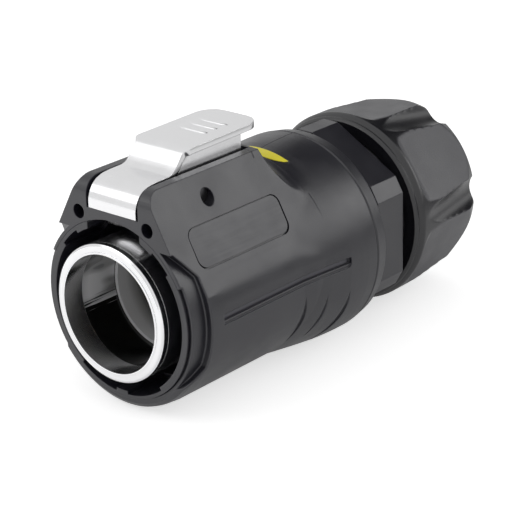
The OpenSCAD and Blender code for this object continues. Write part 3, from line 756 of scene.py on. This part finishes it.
# Dim patches of the room in reflections: direction, cosines where each starts and where it is dimmest, and how dim
DIM_PATCHES = (((-0.11, 0.80, 0.59), 0.84, 0.955, 0.03), ((0.70, 0.71, 0.0), 0.93, 0.99, 0.1))
# Lens in millimetres for a sensor 36 wide, and the camera's move right and up from the line to the ring in metres
SENSOR, LENS = 36, 131.827586
SHIFT_RIGHT, SHIFT_UP = 0.0238441, 0.0084134


def lamp(name, place, aim, size, power):
    """Soft rectangular lamp at a place, turned to a point."""
    data = bpy.data.lights.new(name, "AREA")
    data.shape = "RECTANGLE"
    data.size, data.size_y = size
    data.energy = power
    made = bpy.data.objects.new(name, data)
    made.visible_camera = False
    turn = (Vector(aim) - Vector(place)).to_track_quat("-Z", "Y").to_matrix().to_4x4()
    made.matrix_world = Matrix.Translation(place) @ turn
    bpy.context.scene.collection.objects.link(made)


class CONNECTOR_OT_stage(bpy.types.Operator):
    """Floor, room light, lamps and camera"""
    bl_idname = "connector.stage"
    bl_label = "Stage"

    def execute(self, context):
        stage = context.scene.stage_settings
        context.scene.view_settings.view_transform = "Standard"
        self.room(context.scene, stage.ambient)
        self.floor(context.scene)
        middle = (0, 0.04, 0)
        lamp("key", (0.45, 0.47, 0.27), middle, (0.50, 0.40), stage.key)
        lamp("fill", (-0.35, -0.50, 0.45), middle, (0.5, 0.4), stage.fill)
        self.camera(context.scene, stage)
        return {"FINISHED"}

    def room(self, scene, ambient):
        """Even room light: white to the camera, and to glossy rays pale with two dim patches, as from dark screens."""
        world = bpy.data.worlds.new("room")
        scene.world = world
        world.use_nodes = True
        nodes, join = world.node_tree.nodes, world.node_tree.links.new
        nodes.clear()
        around = nodes.new("ShaderNodeTexCoord").outputs["Generated"]
        strength = nodes.new("ShaderNodeMath")
        strength.operation = "MULTIPLY"
        for slot, (direction, start, end, dim) in enumerate(DIM_PATCHES):
            toward = nodes.new("ShaderNodeVectorMath")
            toward.operation = "DOT_PRODUCT"
            toward.inputs[1].default_value = Vector(direction).normalized()
            join(around, toward.inputs[0])
            dark = nodes.new("ShaderNodeMapRange")
            dark.interpolation_type = "SMOOTHSTEP"
            for socket, number in zip(("From Min", "From Max", "To Min", "To Max"), (start, end, 1.0, dim)):
                dark.inputs[socket].default_value = number
            join(toward.outputs["Value"], dark.inputs["Value"])
            join(dark.outputs[0], strength.inputs[slot])
        lights = []
        for tone, power in ((PALE, ambient), (PALE, 1.0), (WHITE, 1.0)):
            light = nodes.new("ShaderNodeBackground")
            light.inputs["Color"].default_value = tone
            light.inputs["Strength"].default_value = power
            lights.append(light)
        join(strength.outputs[0], lights[1].inputs["Strength"])
        ray = nodes.new("ShaderNodeLightPath")
        shown = lights[0].outputs[0]
        for kind, light in (("Is Glossy Ray", lights[1]), ("Is Camera Ray", lights[2])):
            mix = nodes.new("ShaderNodeMixShader")
            join(ray.outputs[kind], mix.inputs[0])
            join(shown, mix.inputs[1])
            join(light.outputs[0], mix.inputs[2])
            shown = mix.outputs[0]
        join(shown, nodes.new("ShaderNodeOutputWorld").inputs[0])

    def floor(self, scene):
        """Plain pale floor under the connector. It glows to the camera and, by place, to glossy rays. Far off, glossy
        rays find it painted dark.
        """
        low = CAD_BOX[0][2] - 0.01 * MM
        mesh = bpy.data.meshes.new("floor")
        mesh.from_pydata([(x, y, low) for x in (-3, 3) for y in (-3, 3)], [], [(0, 2, 3, 1)])
        floor = bpy.data.objects.new("floor", mesh)
        scene.collection.objects.link(floor)
        f = Finish("floor white", (0.86, 0.86, 0.86), Specular_IOR_Level=0.2, Roughness=0.9)
        f.shader.inputs["Emission Color"].default_value = WHITE
        ray = f.node("ShaderNodeLightPath")
        glossy = ray.outputs["Is Glossy Ray"]
        rearward = f.plus(f.along("X"), f.along("Y"))
        glow = f.plus(f.times(ray.outputs["Is Camera Ray"], 0.62),
                      f.times(glossy, f.spread(rearward, 0.52, 0.16, -25, 25)))
        plain = f.blend(f.noise(40, 2), (0.85, 0.85, 0.85), (0.87, 0.87, 0.87))
        # Painted shade: far behind and to the right, glossy rays see the floor dark, as a dark sheet that is not there.
        far = f.times(glossy, f.spread(rearward, 0, 1, 180, 380))
        f.join(glow, f.shader.inputs["Emission Strength"])
        f.join(f.blend(far, plain, (0.12, 0.12, 0.12)), f.shader.inputs["Base Color"])
        mesh.materials.append(f.material)

    def camera(self, scene, stage):
        """Camera at an azimuth, elevation and roll, moved sideways and up from the line to the front ring."""
        a, e, r = stage.azimuth, stage.elevation, stage.roll
        back = Vector((math.sin(a) * math.cos(e), -math.cos(a) * math.cos(e), math.sin(e)))
        across = Vector((math.cos(a), math.sin(a), 0))
        above = back.cross(across)
        right = math.cos(r) * across + math.sin(r) * above
        up = math.cos(r) * above - math.sin(r) * across
        data = bpy.data.cameras.new("camera")
        data.sensor_width = SENSOR
        data.lens = LENS
        data.clip_start = 0.02
        camera = bpy.data.objects.new("camera", data)
        place = back * stage.distance + right * SHIFT_RIGHT + up * SHIFT_UP
        camera.matrix_world = Matrix.Translation(place) @ Matrix((right, up, back)).transposed().to_4x4()
        scene.collection.objects.link(camera)
        scene.camera = camera


class CONNECTOR_PT_panel(bpy.types.Panel):
    """Sizes, colours and the pieces of the connector"""
    bl_idname = "CONNECTOR_PT_panel"
    bl_label = "Push pull connector"
    bl_space_type = "VIEW_3D"
    bl_region_type = "UI"
    bl_category = "Connector"

    def draw(self, context):
        for group in (context.scene.latch_sizes, context.scene.nut_sizes, context.scene.finish_colours,
                      context.scene.stage_settings):
            column = self.layout.column(align=True)
            for name in group.__annotations__:
                column.prop(group, name)
        for operator in OPERATORS:
            self.layout.operator(operator.bl_idname)


OPERATORS = (CONNECTOR_OT_stage, CONNECTOR_OT_shell, CONNECTOR_OT_mating_end, CONNECTOR_OT_latch, CONNECTOR_OT_inside,
             CONNECTOR_OT_rear)
GROUPS = {"latch_sizes": LatchSizes, "nut_sizes": NutSizes, "finish_colours": FinishColours,
          "stage_settings": StageSettings}


def register():
    for name, group in GROUPS.items():
        bpy.utils.register_class(group)
        setattr(bpy.types.Scene, name, bpy.props.PointerProperty(type=group))
    for operator in OPERATORS:
        bpy.utils.register_class(operator)
    bpy.utils.register_class(CONNECTOR_PT_panel)


def unregister():
    bpy.utils.unregister_class(CONNECTOR_PT_panel)
    for operator in reversed(OPERATORS):
        bpy.utils.unregister_class(operator)
    for name, group in reversed(list(GROUPS.items())):
        delattr(bpy.types.Scene, name)
        bpy.utils.unregister_class(group)


def main():
    register()
    for operator in OPERATORS:
        prefix, name = operator.bl_idname.split(".")
        if getattr(getattr(bpy.ops, prefix), name)() != {"FINISHED"}:
            raise RuntimeError(f"{operator.bl_label} did not finish")


if __name__ == "__main__":
    main()
